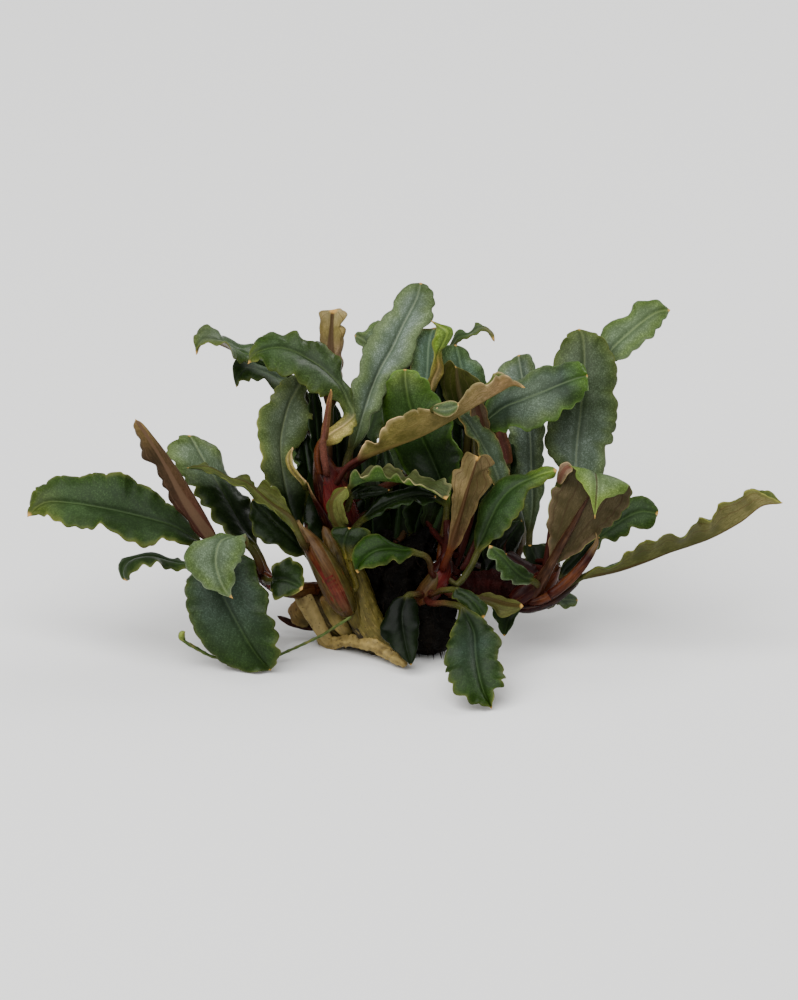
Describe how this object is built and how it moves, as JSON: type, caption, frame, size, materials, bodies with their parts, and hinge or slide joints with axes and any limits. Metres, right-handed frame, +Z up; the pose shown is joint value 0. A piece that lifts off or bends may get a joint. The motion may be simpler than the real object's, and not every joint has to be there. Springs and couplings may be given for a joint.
{
  "type": "aquarium plant",
  "caption": "Small creeping aquarium plant with ruffled green and brown leaves on red crowns, resting on its cut rhizome.",
  "frame": {"origin": "on the flat cut under the rhizome, below the middle of the clump", "axes": "+X along the clump's longest side, -Y toward the front that shows the most leaf faces, +Z up"},
  "size_m": [0.1135, 0.067, 0.0498],
  "materials": {
    "leaf_green": "wet leaf, satin",
    "leaf_bright": "young wet leaf, satin",
    "leaf_dark": "dark wet leaf, glossy",
    "leaf_brown": "leaf underside, matt",
    "crown_red": "wet leaf sheaths, glossy",
    "crown_pink": "young leaf sheaths, satin",
    "rhizome_cream": "soft living stem, matt",
    "rhizome_olive": "soft living stem, matt",
    "root_dark": "old wet root, matt"
  },
  "bodies": {
    "root": {"crown_back": "root_dark", "crown_centre": "crown_red", "crown_far_left": "crown_red", "crown_left": "crown_pink", "crown_right": "crown_red", "crown_top": "crown_red", "leaf_arching": "leaf_green", "leaf_back_centre": "leaf_brown", "leaf_back_high": "leaf_green", "leaf_back_left": "leaf_green", "leaf_back_low_left": "leaf_dark", "leaf_back_low_right": "leaf_dark", "leaf_back_right": "leaf_green", "leaf_big_fan": "leaf_brown", "leaf_brown_stub": "leaf_brown", "leaf_brown_upright": "leaf_brown", "leaf_centre_big": "leaf_bright", "leaf_centre_grey": "leaf_dark", "leaf_curved_green": "leaf_green", "leaf_far_left": "leaf_green", "leaf_folded": "leaf_dark", "leaf_glossy_low": "leaf_dark", "leaf_grey_behind": "leaf_dark", "leaf_hanging_front": "leaf_green", "leaf_hooked": "leaf_green", "leaf_left_back": "leaf_dark", "leaf_left_big": "leaf_green", "leaf_left_dark": "leaf_dark", "leaf_left_pale": "leaf_green", "leaf_left_thin": "leaf_dark", "leaf_left_upright": "leaf_green", "leaf_long_right": "leaf_brown", "leaf_long_tan": "leaf_brown", "leaf_low_front": "leaf_dark", "leaf_low_olive": "leaf_brown", "leaf_mid_right": "leaf_green", "leaf_olive_edge": "leaf_brown", "leaf_pink_spear": "crown_pink", "leaf_right_behind": "leaf_dark", "leaf_rolled_left": "leaf_brown", "leaf_ruffled_pale": "leaf_brown", "leaf_small_bright": "leaf_bright", "leaf_small_pale": "leaf_green", "leaf_small_round": "leaf_green", "leaf_small_ruffled": "leaf_dark", "leaf_tall_centre": "leaf_green", "leaf_tall_right": "leaf_green", "leaf_twisted_new": "leaf_bright", "leaf_under_arch": "leaf_dark", "leaf_upper_left": "leaf_green", "leaf_upper_right": "leaf_green", "rhizome_foot": "rhizome_olive", "rhizome_right": "crown_red", "root_cream": "rhizome_cream", "root_mass": "root_dark", "runner": "leaf_green", "spathe": "leaf_brown", "stem_olive": "rhizome_olive", "stem_pale": "rhizome_cream", "stem_tan": "rhizome_olive"}
  },
  "joints": []
}
